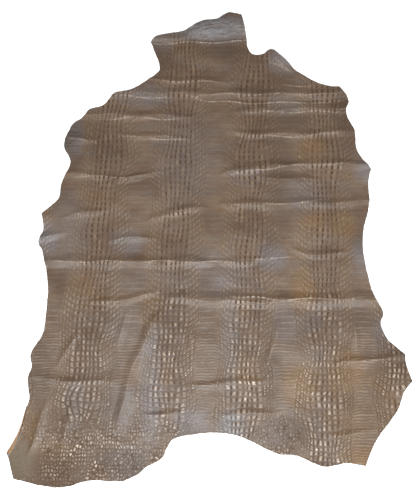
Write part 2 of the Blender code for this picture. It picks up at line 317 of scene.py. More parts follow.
# Across half a column the pattern has its large scales, then small flank scales, then plain ribs.
# A large scale is so wide on average, and swells and shrinks along the column.
COLUMN_SCALES = 3.5
FLANK_SCALES = 4.0
RIB_UNITS = 3.0
HALF_UNITS = COLUMN_SCALES + FLANK_SCALES + RIB_UNITS
SCALE_WIDTH = 10.85
SCALE_SWELL = 1.25
SWELL_LENGTH = 181.0
WIDE_PLACE = 174.0
FLANK_WIDTH = 7.0
ROW_HEIGHT = 12.5
ROW_RISE = 24.0
RISE_FROM = 2.6
RISE_TO = 8.2

# Half a column's counts between which its scales give way to the flank, and the flank to the ribs
FLANK_FROM = COLUMN_SCALES - 1.5
FLANK_FULL = COLUMN_SCALES + 0.8
RIBS_FROM = COLUMN_SCALES + FLANK_SCALES - 1.2
RIBS_FULL = COLUMN_SCALES + FLANK_SCALES + 0.4

# The level grooves come in down the hide, from here to here
CROSSED_FROM = -40.0
CROSSED_TO = -350.0

# The pattern gets loose down the hide and to the left, and the flank's scales then take this share
# from the columns. A loose place is fully so at this weight.
RIBS_FADE_FROM = -320.0
RIBS_FADE_TO = -440.0
LOOSE_RIGHT = 40.0
LOOSE_LEFT = -140.0
LOOSE_WEIGHT = 0.7
SMALL_SHARE = 0.85

# Further down, small scales that follow no column take over, and flatten the pressed ones
SMALL_FROM = -350.0
SMALL_TO = -480.0
SMALL_MOST = 0.8
SMALL_FLATTENING = 0.75

# Mesh lines: four to a large scale, with the outer two drawn toward its grooves, and two to a
# flank scale and to a unit of the ribs
LINES_PER_SCALE = 4
LINES_PER_FLANK = 2
SHOULDER_SHIFT = 0.05
SHOULDER_DEPTH = 0.45

# How deep the grooves are pressed, in millimetres
GROOVE_UPRIGHT = 0.50
GROOVE_LEVEL = 0.27
LEVEL_AT_NECK = 0.2
BRIDGE = 0.6
BRIDGE_AT_BUTT = 0.3
HALVED_FROM = -180.0
HALVED_TO = -320.0
GROOVE_FLANK = 0.42
FLANK_UPRIGHT = 0.45
GROOVE_RIB = 0.07
LEAST_THICKNESS = 0.45

# The pattern shows nowhere below the first of these pressures, and fully above the second
PRESSED_FROM = 0.15
PRESSED_TO = 0.85

# Unevenness of the shape: how strong it is, how long its waves are in millimetres, and its seed
Wave = namedtuple("Wave", "amount length seed")
COLUMN_SWAY = Wave(2.2, 140, 7)
LOOSE_WAVES = (Wave(1.0, 60, 1), Wave(1.0, 60, 2))
SCALE_WAVES = (Wave(1.0, 17, 3), Wave(1.0, 17, 4))
RIM_WAVES = (Wave(1.0, 34, 5), Wave(0.6, 13, 6))
CROSS_SWELL = Wave(0.30, 34, 11)
CROSS_STRETCH = (2.2, 1.0)
BROAD_SWELL = Wave(0.26, 62, 12)
PRESS_WAVES = (Wave(0.22, 70, 21), Wave(0.15, 22, 22))
PRESS_USUAL = 0.9
PRESS_LEAST = 0.35
PRESS_MOST = 1.5

# How far such waves move the pattern in millimetres: anywhere, and more where the level grooves are
# in and where it is loose
Stray = namedtuple("Stray", "anywhere crossed loose")
PATTERN_STRAY = Stray(1.1, 0.8, 4.0)
SCALE_STRAY = Stray(0.45, 0.3, 0.25)

# Unevenness of the looks over the hide: its stretch along the axes, fineness, detail and roughness,
# and the smooth step that it goes through
Noise = namedtuple("Noise", "stretch fineness detail roughness low high low_out high_out",
                   defaults=(0.0, 1.0, 0.0, 1.0))
EVEN = (1.0, 1.0, 1.0)
NOISES = {
    "clouds": Noise((1.0, 1.6, 1.0), 7.0, 4.0, 0.6, 0.36, 0.64),
    "streaks": Noise((0.7, 2.4, 1.0), 16.0, 3.0, 0.6, 0.45, 0.75),
    "crinkles": Noise((0.6, 1.7, 1.0), 90.0, 4.0, 0.65, 0.38, 0.72),
    "wrinkles": Noise((0.35, 2.2, 1.0), 60.0, 3.0, 0.6),
    "dents": Noise(EVEN, 48.0, 4.0, 0.65),
    "flecks": Noise(EVEN, 420.0, 2.0, 0.6, 0.36, 0.64),
    "mottle": Noise(EVEN, 130.0, 4.0, 0.7, 0.36, 0.64),
    "pressing": Noise(EVEN, 34.0, 3.0, 0.75, 0.34, 0.62, 0.2, 1.0),
    "patches": Noise(EVEN, 85.0, 3.0, 0.7, 0.36, 0.64, 0.5, 1.2),
    "breaks": Noise(EVEN, 55.0, 3.0, 0.6, 0.35, 0.6, 0.25, 1.0),
    "suede": Noise(EVEN, 14.0, 4.0, 0.6, 0.3, 0.7),
}

# Smooth steps: the values where each starts and ends, and what comes out before and after it. The
# first ones go down the hide, from 0 at the neck to 1 at the butt.
Step = namedtuple("Step", "start end before after", defaults=(0.0, 1.0))
STEPS = {
    "grooves between rows": Step(0.86, 0.98, 0.0, 0.8),
    "cut between domes": Step(0.3, 1.0, 0.2, 0.8),
    "narrower domes": Step(0.8, 1.0, 0.0, 0.9),
    "bridges over grooves": Step(0.85, 1.0, 0.8, 0.45),
    "golden flanks": Step(0.2, 0.8, 0.05, 0.3),
    "deeper brown": Step(0.72, 1.0, 0.0, 0.30),
    "flecks": Step(0.2, 0.8, 0.12, 0.32),
    # The next four steps grade the wear and painted highlights of the scale tops and ribs down the hide
    "smaller rubbed tops": Step(0.5, 0.95, 1.0, 1.6),
    "wear_and_highlight": Step(0.85, 1.0, 0.42, 0.88),
    "paler rubbed tops": Step(0.6, 1.0, 0.0, 1.0),
    "rubbed ribs": Step(0.72, 0.97, 0.04, 0.22),
    "upright grooves, column": Step(0.85, 1.0, 0.62, 0.5),
    "upright grooves, flank": Step(0.9, 1.0, 0.22, 0.42),
    "level grooves, flank": Step(0.9, 1.0, 0.24, 0.42),
    "level grooves, column": Step(0.8, 1.0, 0.06, 0.24),
    "level grooves": Step(0.3, 0.75, 0.3, 1.0),
    "roughness": Step(0.1, 0.9, 0.54, 0.47),
    "roughness of rubbed tops": Step(0.7, 1.0, -0.10, -0.36),
    "dome": Step(0.0, 0.46),
    "pit": Step(0.42, 0.12),
    "pebble": Step(0.0, 0.25),
    "speckle": Step(0.35, 0.65),
    "small dome": Step(0.03, 0.38),
    "small gap": Step(0.18, 0.02),
    "small tone": Step(0.15, 0.85, 0.2, 0.9),
    "rubbing by tone": Step(0.1, 1.0, 0.25, 1.3),
    "rubbing by flecks": Step(0.0, 1.0, 1.1, 0.6),
    "rubbing by darkness": Step(0.0, 1.0, 1.0, 0.8),
    "crest": Step(0.30, 0.0),
    "height by tone": Step(0.0, 1.0, 0.6, 1.3),
    "roughness by clouds": Step(0.3, 0.75, -0.03, 0.05),
}

# How strongly each thing colours the leather, roughens it and stands out in its finest relief
# The ridge tint is a painted highlight along the crease crests, the tint toward bluish grey is painted
# sheen, and the deep tint is partly painted shade
TINTS = {"streaks": 0.5, "warm": 0.85, "painted_sheen": 0.8, "deep": 0.85, "olive": 0.8, "mottle": 0.22,
         "ridge": 0.4, "gap": 0.85, "pit": 0.55, "nap": 0.25}
ROUGHER = {"dark": 0.35, "ridge": -0.12, "painted_sheen": -0.06, "ribs": 0.05, "deep": 0.22}
RELIEF = {"domes": 1.5, "ridge": 2.8, "rib": 0.5, "pores": 0.12, "wrinkles": 1.8, "dents": 3.0,
          "crinkles": 26.0}
# How much wear and painted glint the scale tops carry everywhere, before the shiny places add more
WEAR_AND_HIGHLIGHT_EVERYWHERE = 0.75
LEVEL_EVERYWHERE = 0.10
# The crease crests' painted highlight and relief, weaker in the columns and stronger on the scale domes
RIDGE_LOSS_IN_COLUMN = 0.6
RIDGE_GAIN_ON_DOME = 0.9

# The drawn grooves' half widths, as shares of a row or of a scale
GROOVE_FLOOR = 0.02
WIDE_UPRIGHT = 0.36
WIDE_LEVEL = 0.25
WIDE_FLANK = 0.24
WIDE_RIB = 0.26
WIDE_BETWEEN = 0.30

# A dark pit lies on an upright groove midway between two level ones, narrower across than along
PIT_ACROSS = 1.15
PIT_ALONG = 0.85

# The finest grain, the small scales and the bumps
PORE_FINENESS = 900.0
NAP_FINENESS = 420.0
GRAIN_DETAIL = 4.0
GRAIN_ROUGHNESS = 0.65
PEBBLE_HEIGHT = 0.6
SMALL_FINENESS = 135.0
SMALL_STRETCH = (1.15, 0.9, 1.0)
SMALL_DISORDER = 0.75
GRAIN_BUMP = 0.9
FLESH_BUMP = 0.6
BUMP_DISTANCE = 0.0003
FLESH_ROUGHNESS = 0.85
FLOOR_ROUGHNESS = 0.9

# A crease's painted highlight line is looked for this far from it, in millimetres, and a fold's
# crest bears such a line this much more weakly
CREASE_REACH = 9.0
FOLD_CREST = 0.35

# Fine creases: narrow soft ridges on the grain side alone
CREASES = table(Fold, (
    ("neck end", (-150, 467), (-30, 469), (96, 473), 1.3, 4, 5),
    ("right shoulder point, upper", (150, 441), (182, 418), (208, 393), 0.9, 4, 5),
    ("right shoulder point, middle", (146, 428), (174, 410), (200, 391), 0.8, 4, 5),
    ("right shoulder point, lower", (136, 417), (166, 404), (194, 389), 0.8, 4, 5),
    ("neck, upper left", (-149, 370), (-54, 369), (41, 365), 0.7, 4, 5),
    ("neck, upper right", (164, 360), (209, 359), (254, 357), 0.7, 4, 5),
    ("shoulders, upper", (-85, 332), (110, 336), (305, 335), 0.9, 3.5, 5),
    ("shoulders, lower", (-49, 327), (92, 315), (317, 320), 0.9, 3.5, 5),
    ("shoulders, left", (-231, 332), (-164, 330), (-97, 327), 0.9, 6, 8),
    ("left shoulder", (-272, 275), (-170, 276), (-68, 275), 0.8, 4, 6),
    ("right shoulder", (80, 290), (200, 292), (318, 292), 0.8, 4, 6),
    ("withers, outer left", (-336, 223), (-309, 222), (-282, 218), 0.9, 4, 6),
    ("withers, left", (-224, 230), (-136, 227), (-49, 220), 0.8, 3.5, 5),
    ("withers, right", (56, 237), (190, 231), (314, 244), 0.8, 3.5, 5),
    ("ribs, right", (44, 138), (183, 159), (334, 165), 1.0, 3.5, 5),
    ("ribs, left", (-325, 135), (-230, 133), (-136, 138), 0.8, 3.5, 5),
    ("loin, right", (39, 71), (135, 69), (273, 78), 0.9, 3.5, 5),
    ("loin, left", (-123, 31), (-95, 44), (-25, 50), 0.9, 3.5, 5),
    ("belly, left", (-373, -66), (-154, -65), (65, -66), 1.0, 3.5, 5),
    ("belly, right", (66, -65), (106, -57), (201, -57), 0.9, 3.5, 5),
    ("rump, right", (38, -141), (176, -150), (359, -145), 1.0, 4, 6),
    ("right thigh", (293, -288), (352, -286), (418, -277), 0.9, 4, 6),
))

# Places where the pattern is pressed weakly or not at all, where it is loose, where the colour
# strays, where a bluish-grey sheen is painted, where glints are painted on smoother scale tops,
# and where the leather is darker, partly its own tone and partly painted shade
Place = namedtuple("Place", "name x y reach_x reach_y strength")
UNPRESSED = table(Place, (
    ("left shank end", -405, -490, 62, 62, 1.0),
    ("left shoulder edge", -328, 190, 46, 95, 0.75),
    ("neck end", -20, 530, 170, 80, 0.8),
    ("neck end, right", 120, 500, 60, 60, 0.5),
    ("right shoulder point", 170, 440, 60, 40, 0.5),
))
LOOSE_PLACES = table(Place, (
    ("right butt edge", 146, -446, 62, 60, 1.0),
))
WARM_PLACES = table(Place, (
    ("right ribs", 236, 198, 48, 40, 0.5),
    ("left ribs", -262, 80, 60, 30, 0.3),
    ("middle of the back", 25, 66, 42, 28, 0.25),
    ("right loin", 232, 30, 42, 36, 0.5),
    ("right loin, outer", 300, 18, 40, 42, 0.5),
    ("left rump", -270, -130, 48, 52, 0.45),
    ("rump, left of middle", -125, -138, 34, 60, 0.25),
    ("rump, right of middle", 66, -142, 38, 58, 0.5),
    ("right rump", 206, -140, 36, 66, 0.7),
    ("left butt", -128, -310, 48, 46, 0.45),
    ("right butt", 80, -306, 42, 46, 0.5),
    ("right thigh", 200, -338, 60, 60, 0.85),
    ("right thigh, outer", 296, -320, 62, 80, 1.0),
    ("right shank", 382, -318, 56, 70, 0.9),
    ("right shank, lower", 378, -392, 66, 84, 0.8),
    ("right shank, inner", 306, -412, 76, 66, 1.0),
    ("right shank end", 318, -492, 60, 60, 0.8),
    ("left shank", -340, -516, 80, 70, 1.0),
    ("left shank, lower", -250, -525, 60, 36, 0.4),
    ("left shank, beside the roll", -392, -418, 24, 50, 0.5),
))
# Places with a painted bluish-grey sheen, also a little smoother
PAINTED_SHEEN_PLACES = table(Place, (
    ("neck end", 20, 502, 150, 44, 0.9),
    ("neck end, left", -128, 466, 46, 34, 0.6),
    ("right shoulder point", 168, 420, 46, 42, 0.8),
    ("left shoulder", -160, 330, 82, 34, 0.6),
    ("right shoulder", 170, 306, 52, 34, 0.45),
    ("left shoulder edge", -326, 232, 34, 66, 1.0),
    ("right ribs edge", 362, 152, 40, 42, 0.7),
    ("right of the back", 84, 132, 60, 26, 0.4),
    ("left flank point", -376, -16, 46, 56, 0.9),
    ("left belly", -190, -22, 46, 42, 0.6),
    ("middle belly", -20, -60, 66, 42, 0.4),
    ("right belly", 136, -56, 42, 44, 0.9),
    ("right belly edge", 342, -46, 34, 46, 0.7),
    ("left thigh", -196, -212, 48, 58, 0.35),
    ("right of middle", 168, -208, 42, 50, 0.6),
    ("right rump edge", 384, -222, 36, 52, 0.8),
    ("left butt edge", -294, -380, 30, 56, 0.6),
    ("left butt", -194, -396, 58, 76, 0.45),
    ("back, left of middle", -60, 180, 90, 150, 0.35),
    ("middle rump", 43, -110, 70, 60, 0.6),
    ("right loin", 218, 84, 66, 50, 0.5),
    ("butt, left of middle", -136, -380, 50, 44, 0.4),
    ("left flank", -320, 0, 60, 120, 0.4),
    ("middle of the butt", -44, -424, 48, 56, 0.8),
    ("right of the middle, long", 42, -190, 26, 210, 0.5),
    ("left of the middle, long", -132, -350, 32, 160, 0.8),
    ("butt edge", 41, -424, 40, 40, 1.0),
    ("across the rump", -60, -110, 240, 40, 0.3),
    ("right rump", 216, -200, 40, 34, 0.5),
    ("left shank, inner", -180, -500, 60, 46, 0.9),
    ("right butt", 150, -434, 56, 40, 0.4),
))
# Places where the scale tops are smoother and carry stronger painted glints
SHINE_AND_PAINTED_GLINT_PLACES = table(Place, (
    ("butt, left of middle", -99, -425, 52, 40, 0.3),
    ("right butt", 248, -478, 66, 46, 0.5),
    ("right shank edge", 396, -330, 40, 70, 0.3),
    ("left thigh", -300, -400, 44, 80, 0.35),
    ("left thigh, inner", -208, -424, 40, 60, 0.3),
    ("left shank", -268, -480, 100, 70, 0.7),
    ("rump, right of middle", 66, -345, 62, 30, 0.7),
    ("right rump", 232, -150, 66, 30, 0.5),
    ("right of middle", 66, 42, 42, 30, 0.6),
    ("right ribs", 76, 130, 40, 20, 0.4),
    ("left thigh, outer", -300, -240, 60, 50, 0.4),
    ("right thigh", 180, -300, 60, 70, 0.5),
))
OLIVE_PLACES = table(Place, (
    ("left shank end", -412, -496, 46, 56, 1.0),
))
# Darker places: partly the leather's own tone, partly painted shade
DARK_PLACES = table(Place, (
    ("right belly", 133, -16, 38, 40, 0.5),
    ("right shoulder", 185, 272, 84, 30, 0.8),
    ("left withers, outer", -325, 170, 42, 44, 0.9),
    ("back", -48, 174, 34, 30, 0.3),
    ("right ribs", 321, 174, 46, 34, 0.45),
    ("right of the middle, low", 129, -320, 30, 130, 0.35),
    ("middle of the butt", -45, -450, 40, 40, 0.5),
    ("right rump", 340, -200, 76, 40, 0.7),
    ("right shank, upper", 394, -290, 34, 40, 0.6),
    ("right shank, low", 296, -453, 40, 32, 0.4),
    ("right thigh, upper", 180, -210, 90, 60, 0.5),
    ("right thigh, edge", 392, -284, 70, 90, 0.9),
    ("right shank, middle", 330, -400, 110, 100, 0.6),
    ("right butt", 176, -440, 76, 50, 0.6),
    ("left shank, lower", -335, -545, 150, 90, 1.0),
    ("rump edge", 388, -196, 50, 50, 0.6),
    ("right thigh", 300, -330, 90, 110, 0.3),
    ("neck, left", -128, 434, 52, 46, 0.8),
    ("nape", 34, 446, 70, 34, 0.8),
    ("neck, right", 152, 372, 60, 46, 0.6),
    ("right withers", 156, 190, 42, 110, 0.6),
    ("right back", 156, 62, 36, 62, 0.5),
    ("left shoulder edge", -328, 226, 40, 74, 0.9),
    ("left withers", -236, 210, 66, 54, 0.6),
    ("right shoulder edge", 318, 282, 46, 62, 0.8),
    ("left belly", -50, -36, 60, 34, 0.4),
    ("left edge", -376, -300, 38, 100, 0.7),
    ("left thigh", -206, -340, 26, 90, 0.2),
    ("left shank", -330, -520, 130, 62, 1.0),
    ("left butt", -215, -505, 84, 52, 0.8),
    ("left thigh, low", -292, -410, 60, 80, 0.5),
    ("left thigh, inner", -215, -400, 40, 70, 0.4),
    ("right rump edge", 374, -246, 46, 54, 0.7),
    ("right shank", 350, -420, 70, 80, 0.4),
))

# The mesh: steps, clearances and heights of the rim's unevenness in millimetres
RIM_STEP = 3.0
RIM_ROUGHNESS = 0.5
RIM_MARGIN = 1.7
UNDERSIDE_STEP = 6.5
UNDERSIDE_CLEARANCE = 3.0
ROLL_STEP = 4.0
ROLL_ROWS = (0.0, 2.0, 4.0, 6.0, 8.0, 10.0, 12.0, 14.5, 17.0)
ROLL_CLEARANCE = 1.4
SAME_POINT = 1e-5
FACES_INSIDE = 1
SHARP_ANGLE = math.radians(55)
CHUNK = 3000

# The numbers of the two materials on the hide
GRAIN_SIDE = 0
FLESH_SIDE = 1

Grain = namedtuple("Grain", "flat across rows count cut quads border between")


def parabola(start, middle, end, t):
    """Points on the parabola through three points, at parameters from 0 to 1."""
    t = t[:, None]
    return ((1 - t) * (1 - 2 * t) * np.array(start) + 4 * t * (1 - t) * np.array(middle)
            + t * (2 * t - 1) * np.array(end))


def line_length(line):
    return float(np.linalg.norm(np.diff(line, axis=0), axis=1).sum())


def left_normals(points):
    """Unit vectors to the left hand of somebody who walks along the points."""
    along = np.gradient(points, axis=0)
    along /= np.linalg.norm(along, axis=1)[:, None]
    return np.stack((-along[:, 1], along[:, 0]), axis=1)


def fold_line(fold):
    """The crest of a fold: its parabola, swayed a little from side to side."""
    t = np.linspace(0.0, 1.0, CURVE_SAMPLES)
    line = parabola(fold.start, fold.middle, fold.end, t)
    length = line_length(line)
    phase = fold.start[0] + fold.start[1]
    sway = WANDER * np.sin(2 * np.pi * length * t / WANDER_LENGTH + phase)
    return line + left_normals(line) * sway[:, None]


def roll_line(roll, steps):
    return parabola(roll.start, roll.middle, roll.end, np.linspace(0.0, 1.0, steps))


def place_on_line(xy, line, overrun=False):
    """How far along the line each point lies, from 0 to 1, and how far to its left.

    With overrun the line goes on straight past its two ends.
    """
    a, run = line[:-1], np.diff(line, axis=0)
    offset = xy[:, None, :] - a[None]
    t = (offset * run).sum(axis=2) / (run * run).sum(axis=1)
    low = np.zeros(len(run))
    high = np.ones(len(run))
    if overrun:
        low[0], high[-1] = -np.inf, np.inf
    t = np.clip(t, low, high)
    gap = offset - t[..., None] * run[None]
    distance = np.linalg.norm(gap, axis=2)
    nearest = distance.argmin(axis=1)
    rows = np.arange(len(xy))
    side = run[nearest, 0] * gap[rows, nearest, 1] - run[nearest, 1] * gap[rows, nearest, 0]
    along = (nearest + t[rows, nearest]) / len(run)
    return along, np.copysign(distance[rows, nearest], side), nearest


def beside_fold(fold, xy, reach):
    """Which points lie near a fold, how far along and aside of its crest, its length and its fade."""
    line = fold_line(fold)
    near = ((xy > line.min(axis=0) - reach) & (xy < line.max(axis=0) + reach)).all(axis=1)
    near = np.flatnonzero(near)
    length = line_length(line)
    along, aside, _ = place_on_line(xy[near], line)
    run_out = min(FADE_LENGTH, length / 2)
    fade = np.clip(np.minimum(along, 1 - along) * length / run_out, 0, 1)
    return near, along, aside, length, fade


def fold_height(fold, xy):
    """Height of one ridge: a smooth bell across it that fades at its two ends."""
    near, along, aside, length, fade = beside_fold(fold, xy, max(fold.near, fold.far))
    width = NARROWEST + (1 - NARROWEST) * fade
    across = np.where(aside > 0, aside / fold.far, aside / fold.near) / width
    bell = np.clip(1 - across ** 2, 0, None) ** 2
    uneven = 1 + RISE_AND_FALL * np.sin(2 * np.pi * length * along / RISE_LENGTH + fold.start[0])
    height = np.zeros(len(xy))
    height[near] = fold.height * uneven * bell * fade * (2 - fade)
    return height


def crease_gap(xy):
    """How far each point lies across the nearest crease or fold crest, and how strong that one is.

    The gap is a share of CREASE_REACH, above nothing on the far side, and the strength fades at the
    ends.
    """
    gap = np.ones(len(xy))
    strength = np.zeros(len(xy))
    lines = [(crease, crease.height) for crease in CREASES] + [(fold, FOLD_CREST) for fold in FOLDS]
    for fold, share in lines:
        near, _, aside, _, fade = beside_fold(fold, xy, CREASE_REACH)
        nearer = np.abs(aside) / CREASE_REACH < np.abs(gap[near])
        gap[near[nearer]] = (aside / CREASE_REACH)[nearer]
        strength[near[nearer]] = (share * fade * (2 - fade))[nearer]
    return np.clip(gap, -1, 1), strength


def lift_height(lift, xy):
    distance = np.hypot(xy[:, 0] - lift.x, xy[:, 1] - lift.y) / lift.reach
    return lift.height * np.clip(1 - distance ** 2, 0, None) ** 2


def sheet_height(xy):
    """Height of the underside above the surface, zero wherever no fold passes."""
    folds = FOLD_SHARE * sum(fold_height(fold, xy) for fold in FOLDS)
    return folds + sum(lift_height(lift, xy) for lift in LIFTS)


def roll_over(xy, height, above, roll):
    """Points so far above the underside, bent up and back with it outside the roll's curve."""
    line = roll_line(roll, CURVE_SAMPLES)
    _, aside, nearest = place_on_line(xy, line, overrun=True)
    outward = -left_normals(line)[nearest]
    reach = np.clip(-aside, 0, None)
    angle = np.minimum(reach / roll.radius, roll.turn)
    straight = reach - angle * roll.radius
    out = roll.radius * np.sin(angle) + straight * np.cos(angle) - above * np.sin(angle)
    up = roll.radius * (1 - np.cos(angle)) + straight * np.sin(angle) + above * np.cos(angle)
    flat = xy + outward * (out - reach)[:, None]
    return np.column_stack((flat, height + up))


def soft_noise(xy, wave):
    """Smooth unevenness between about -1 and 1 times the wave's amount, from its own random draws."""
    waves = 9
    draw = np.random.default_rng(wave.seed)
    turn = draw.uniform(0, 2 * np.pi, waves)
    length = wave.length * draw.uniform(0.7, 1.5, waves)
    phase = draw.uniform(0, 2 * np.pi, waves)
    total = np.zeros(xy.shape[:-1])
    for n in range(waves):
        along = xy[..., 0] * np.cos(turn[n]) + xy[..., 1] * np.sin(turn[n])
        total += np.sin(2 * np.pi * along / length[n] + phase[n])
    return wave.amount * (total / math.sqrt(waves))


def place_weight(places, xy):
    """The strongest of the places that each point lies in, fading smoothly to their edges."""
    weight = np.zeros(xy.shape[:-1])
    for place in places:
        distance = np.hypot((xy[..., 0] - place.x) / place.reach_x,
                            (xy[..., 1] - place.y) / place.reach_y)
        weight = np.maximum(weight, place.strength * np.clip(1 - distance ** 2, 0, None))
    return weight


def smooth_step(low, high, value):
    t = np.clip((value - low) / (high - low), 0, 1)
    return t * t * (3 - 2 * t)


def butt_share(y):
    """None of it at the neck, all of it at the butt."""
    return smooth_step(330, -330, y)


def outline_points(step):
    """The closed edge: smooth curves through the table's points, broken at its corners."""
    table = np.array([(p.x, p.y) for p in OUTLINE], float)
    corner = [p.turn == CORNER for p in OUTLINE]
    count = len(table)
    edge = []
    for i in range(count):
        j = (i + 1) % count
        p1, p2 = table[i], table[j]
        before = p1 if corner[i] else table[i - 1]
        after = p2 if corner[j] else table[(j + 1) % count]
        pieces = max(1, round(float(np.linalg.norm(p2 - p1)) / step))
        for t in np.arange(pieces) / pieces:
            edge.append(0.5 * (2 * p1 + (p2 - before) * t
                               + (2 * before - 5 * p1 + 4 * p2 - after) * t ** 2
                               + (3 * p1 - before - 3 * p2 + after) * t ** 3))
    return np.array(edge)


def rim_normals(rim):
    """Level unit vectors that point out of the hide, round a rim that runs clockwise."""
    along = np.roll(rim, -1, axis=0) - np.roll(rim, 1, axis=0)
    along /= np.linalg.norm(along, axis=1)[:, None]
    return np.stack((-along[:, 1], along[:, 0]), axis=1)


def rim_points():
    """The cut edge, with the small unevenness that shears leave."""
    edge = outline_points(RIM_STEP)
    uneven = RIM_ROUGHNESS * sum(soft_noise(edge, wave) for wave in RIM_WAVES)
    return edge + rim_normals(edge) * uneven[:, None]


def inside(xy, edge):
    """Which points lie inside the closed edge, by counting crossings to the right."""
    ax, ay = edge[:, 0], edge[:, 1]
    bx, by = np.roll(ax, -1), np.roll(ay, -1)
    rise = np.where(by == ay, 1.0, by - ay)
    found = []
    for start in range(0, len(xy), CHUNK):
        x, y = xy[start:start + CHUNK, :1], xy[start:start + CHUNK, 1:]
        spans = (ay > y) != (by > y)
        crossing = ax + (y - ay) / rise * (bx - ax)
        found.append((spans & (x < crossing)).sum(axis=1) % 2 == 1)
    return np.concatenate(found)


def edge_gap(xy, edge):
    """How far each point lies from the nearest point of the edge."""
    found = []
    for start in range(0, len(xy), CHUNK):
        apart = xy[start:start + CHUNK, None] - edge[None]
        found.append(np.sqrt((apart ** 2).sum(axis=2).min(axis=1)))
    return np.concatenate(found)


def column_middle(column, y):
    return column.middle + column.lean * y


def column_span(number, side, y):
    """Half the way from a column to its neighbour on that side."""
    other = number + side
    if 0 <= other < len(COLUMNS):
        return abs(column_middle(COLUMNS[other], y) - column_middle(COLUMNS[number], y)) / 2
    return np.full_like(y, OUTER_SPAN)


def scale_offset(count, y, span):
    """How far from its column's middle the pattern has come after so many scales."""
    swell = np.cos(2 * np.pi * (y - WIDE_PLACE) / SWELL_LENGTH)
    width = SCALE_WIDTH + SCALE_SWELL * swell
    large = np.minimum(count, COLUMN_SCALES) * width
    flank = np.clip(count - COLUMN_SCALES, 0, FLANK_SCALES) * FLANK_WIDTH
    left_over = span - COLUMN_SCALES * width - FLANK_SCALES * FLANK_WIDTH
    ribs = np.clip(count - COLUMN_SCALES - FLANK_SCALES, 0, RIB_UNITS) / RIB_UNITS * left_over
    return large + flank + ribs


def row_rise(count):
    """Rows run level across a column and the ribs, and rise over the flank between them."""
    return ROW_RISE * smooth_step(RISE_FROM, RISE_TO, count)


def half_lines():
    """The mesh lines from a column's middle outward: even count, drawn count and groove depth."""
    large = int(COLUMN_SCALES * LINES_PER_SCALE)
    flank = int(FLANK_SCALES * LINES_PER_FLANK)
    ribs = int(RIB_UNITS * LINES_PER_FLANK)
    even = np.concatenate((np.arange(large) / LINES_PER_SCALE,
                           COLUMN_SCALES + np.arange(flank + ribs + 1) / LINES_PER_FLANK))
    number = np.arange(len(even))
    shift = np.array([0, 1, 0, -1]) * SHOULDER_SHIFT
    drawn = even + np.where(number < large, shift[number % LINES_PER_SCALE], 0)
    in_scale = np.array([0, SHOULDER_DEPTH, 1, SHOULDER_DEPTH])[number % LINES_PER_SCALE]
    in_flank = 1.0 - (number - large) % LINES_PER_FLANK
    depth = np.where(number <= large, in_scale, in_flank)
    return even, drawn, depth


def loose_share(xy):
    """Where the pattern breaks up into small uneven scales, at the left of the butt above all."""
    low = smooth_step(RIBS_FADE_FROM, RIBS_FADE_TO, xy[..., 1])
    left = low * smooth_step(LOOSE_RIGHT, LOOSE_LEFT, xy[..., 0])
    return np.maximum(left, smooth_step(0.0, LOOSE_WEIGHT, place_weight(LOOSE_PLACES, xy)))


def zone_weights(count, xy):
    """How far a point belongs to a column's scales, to a flank and to the ribs.

    Where the pattern is loose, the small flank scales take over.
    """
    loose = loose_share(xy)
    ribs = smooth_step(RIBS_FROM, RIBS_FULL, count) * (1 - loose)
    column = (1 - smooth_step(FLANK_FROM, FLANK_FULL, count)) * (1 - SMALL_SHARE * loose)
    return column, 1 - column - ribs, ribs


def find_pattern(xy):
    """The pattern's even counts, across and up, at any point of the hide."""
    x, y = xy[:, 0], xy[:, 1]
    middles = np.stack([column_middle(column, y) for column in COLUMNS])
    nearest = np.abs(middles - x).argmin(axis=0)
    even, drawn, _ = half_lines()
    across = np.zeros(len(xy))
    count = np.zeros(len(xy))
    for number in range(len(COLUMNS)):
        for side in (-1, 1):
            aside = (x - middles[number]) * side
            mine = np.flatnonzero((nearest == number) & (aside >= 0))
            for n in mine:
                span = column_span(number, side, y[n:n + 1])
                offsets = scale_offset(drawn, y[n], span)
                count[n] = np.interp(aside[n], offsets, drawn)
                across[n] = 2 * HALF_UNITS * number + side * np.interp(aside[n], offsets, even)
    rows = (y - row_rise(count)) / ROW_HEIGHT
    return across, rows, count


